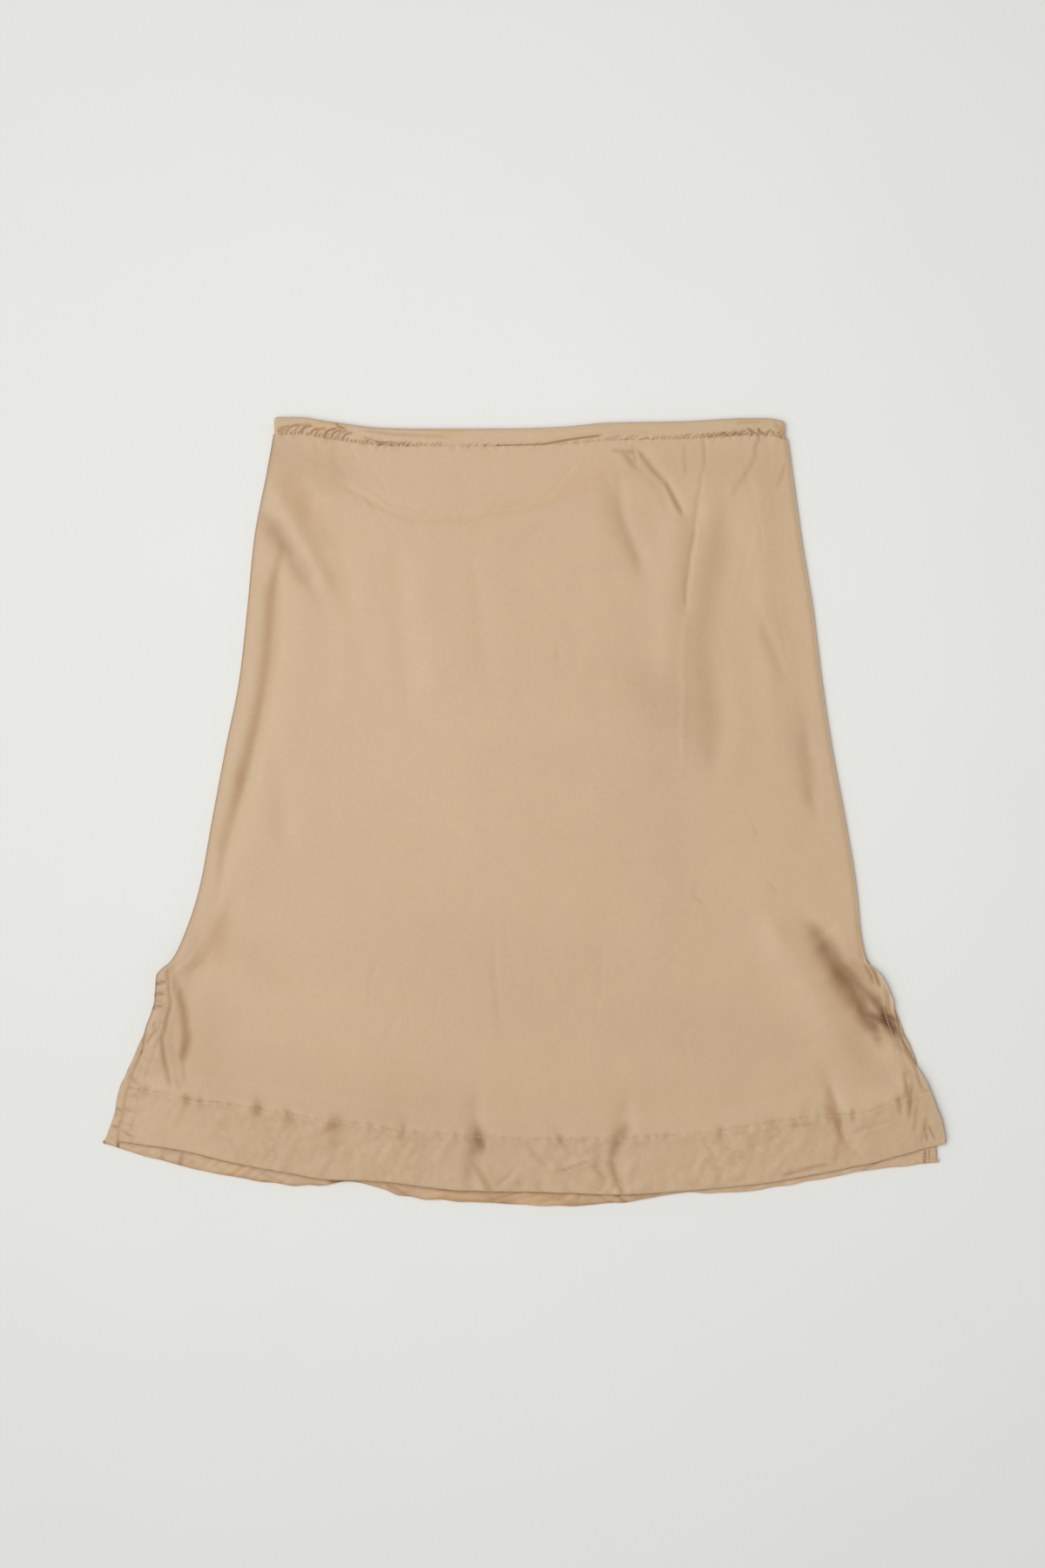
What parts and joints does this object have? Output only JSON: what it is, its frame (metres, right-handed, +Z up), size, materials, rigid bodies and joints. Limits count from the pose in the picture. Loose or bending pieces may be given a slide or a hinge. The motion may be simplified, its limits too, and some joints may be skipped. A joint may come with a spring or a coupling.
{
  "type": "slip skirt",
  "caption": "Satin slip skirt laid flat, front up: gathered elastic waist casing, flared panels, side slits and a deep turned-up hem, the back a little longer.",
  "frame": {"origin": "on the surface that the skirt lies on, at the middle of its outline", "axes": "+X across the skirt towards its right as seen from above, +Y from the hem to the waist, +Z up, away from the surface"},
  "size_m": [0.6091, 0.5709, 0.0062],
  "materials": {
    "satin": "beige satin, soft sheen",
    "satin_inside": "beige satin, turned-in edges",
    "waist_casing": "beige satin gathered round elastic",
    "thread": "matte sewing thread"
  },
  "bodies": {
    "root": {"front_panel": "satin", "back_panel": "satin", "waist_casing_front": "waist_casing", "waist_casing_back": "waist_casing", "slit_turning_front_left": "satin_inside", "slit_turning_front_right": "satin_inside", "slit_turning_back_left": "satin_inside", "slit_turning_back_right": "satin_inside"}
  },
  "joints": []
}
